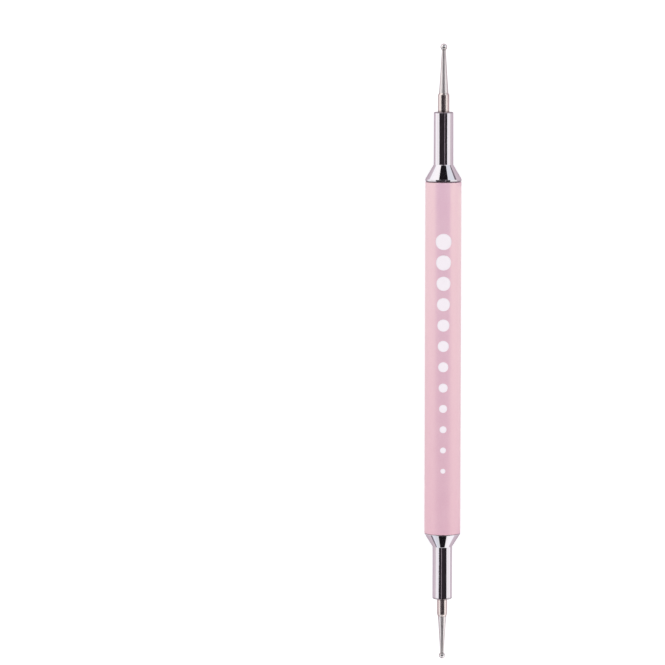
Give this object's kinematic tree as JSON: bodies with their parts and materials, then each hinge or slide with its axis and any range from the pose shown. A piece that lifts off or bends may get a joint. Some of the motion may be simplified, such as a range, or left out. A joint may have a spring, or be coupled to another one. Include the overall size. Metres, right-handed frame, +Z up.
{
  "type": "dotting tool",
  "caption": "Slim double-ended dotting tool: a lacquered tube barrel with a chromed screw-in nose, steel sleeve, tapered needle and ball tip at each end, one ball larger than the other.",
  "frame": {"origin": "on the surface the tool lies on, under the middle of its whole length and on its centre line", "axes": "+Y along the tool towards its larger ball, +Z up, X across"},
  "size_m": [0.008, 0.1372, 0.008],
  "materials": {
    "pink_lacquer": "satin",
    "brass_insert": "satin",
    "chrome_nose": "polished",
    "steel_sleeve": "satin",
    "steel_needle": "gloss",
    "polished_ball": "polished"
  },
  "bodies": {
    "barrel": {"barrel_tube": "pink_lacquer", "upper_bush": "brass_insert", "lower_bush": "brass_insert"},
    "upper_shank": {"upper_shank_sleeve": "steel_sleeve"},
    "upper_nose": {"upper_ferrule": "chrome_nose", "upper_needle": "steel_needle", "upper_ball": "polished_ball"},
    "lower_shank": {"lower_shank_sleeve": "steel_sleeve"},
    "lower_nose": {"lower_ferrule": "chrome_nose", "lower_needle": "steel_needle", "lower_ball": "polished_ball"}
  },
  "joints": [
    {"name": "upper_nose_travel", "type": "slide", "parent": "barrel", "child": "upper_shank", "axis": [0, 1, 0], "range_m": [0, 0.004]},
    {"name": "upper_nose_turn", "type": "hinge", "parent": "upper_shank", "child": "upper_nose", "pos_m": [0, 0.03805, 0.00398], "axis": [0, 1, 0], "range_deg": [0, 1440]},
    {"name": "lower_nose_travel", "type": "slide", "parent": "barrel", "child": "lower_shank", "axis": [0, -1, 0], "range_m": [0, 0.004]},
    {"name": "lower_nose_turn", "type": "hinge", "parent": "lower_shank", "child": "lower_nose", "pos_m": [0, -0.04035, 0.00398], "axis": [0, -1, 0], "range_deg": [0, 1440]}
  ],
  "couplings": [
    {"joint": "upper_nose_turn", "follows": "upper_nose_travel", "rad_per_m": 6283.2},
    {"joint": "lower_nose_turn", "follows": "lower_nose_travel", "rad_per_m": 6283.2}
  ]
}
